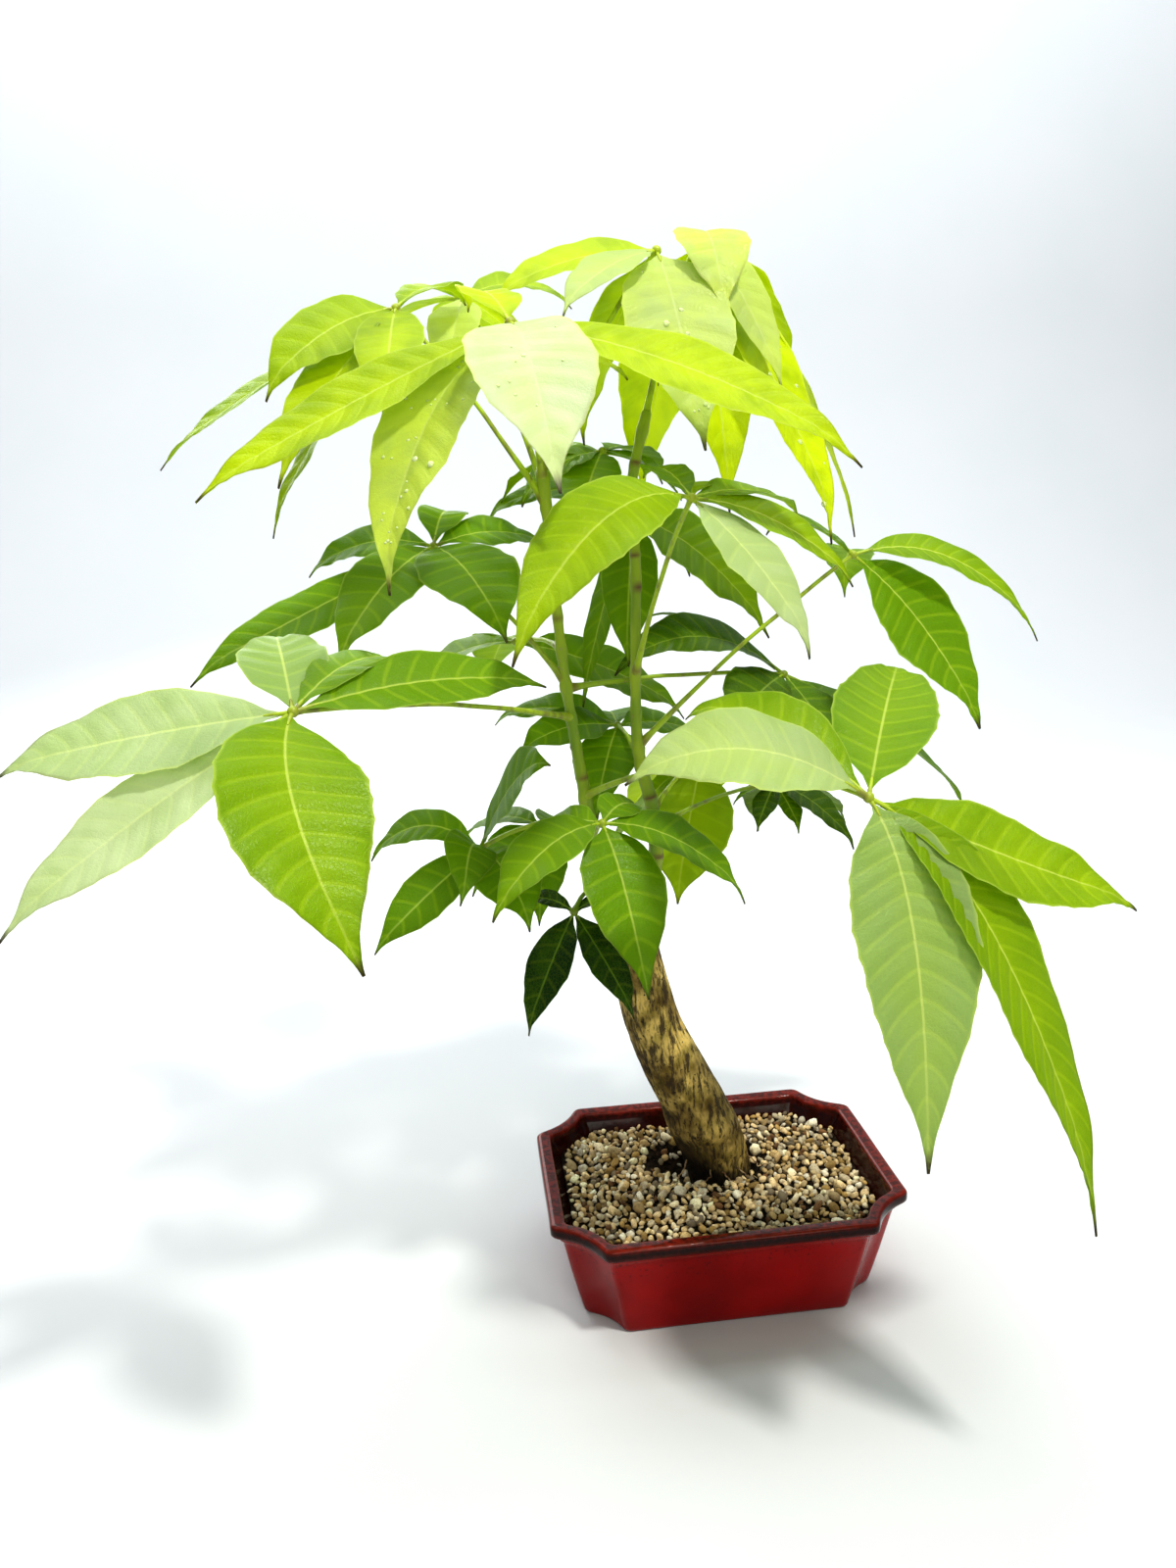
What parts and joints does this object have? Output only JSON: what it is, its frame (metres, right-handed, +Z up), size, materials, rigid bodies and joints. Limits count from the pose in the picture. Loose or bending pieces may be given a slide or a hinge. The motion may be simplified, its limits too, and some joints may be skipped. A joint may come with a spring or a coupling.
{
  "type": "potted money tree",
  "caption": "Young money tree with drooping palmate leaves on forked green stems above a leaning woody trunk, planted in a glazed tray with notched corners and pale gravel.",
  "frame": {"origin": "middle of the tray's flat base, on the surface that it stands on", "axes": "+X to the right along the tray's long side, +Y to the back, +Z up"},
  "size_m": [0.4534, 0.3266, 0.5114],
  "materials": {
    "glaze": "deep crimson glossy ceramic glaze, darker and browner on the rim",
    "mesh_plastic": "black woven plastic mesh",
    "soil": "damp black-brown potting soil",
    "pumice": "pale tan and cream pumice grains, matt",
    "bark": "grey-brown bark with fine cracks and a green-gold cast",
    "green_stem": "smooth green stem with brown leaf scars",
    "leaf": "thin soft leaf, satin above, lime green where light shines through"
  },
  "bodies": {
    "root": {"pot": "glaze", "drainage_mesh_left": "mesh_plastic", "drainage_mesh_right": "mesh_plastic", "potting_soil": "soil", "gravel_bed": "pumice", "trunk": "bark", "left_stem": "green_stem", "right_stem": "green_stem", "left_leaf_01": "leaf", "left_leaf_02": "leaf", "left_leaf_03": "leaf", "left_leaf_04": "leaf", "left_leaf_05": "leaf", "left_leaf_06": "leaf", "left_leaf_07": "leaf", "left_leaf_08": "leaf", "left_leaf_09": "leaf", "left_leaf_10": "leaf", "left_leaf_11": "leaf", "left_leaf_12": "leaf", "left_leaf_13": "leaf", "right_leaf_01": "leaf", "right_leaf_02": "leaf", "right_leaf_03": "leaf", "right_leaf_04": "leaf", "right_leaf_05": "leaf", "right_leaf_06": "leaf", "right_leaf_07": "leaf", "right_leaf_08": "leaf"}
  },
  "joints": []
}
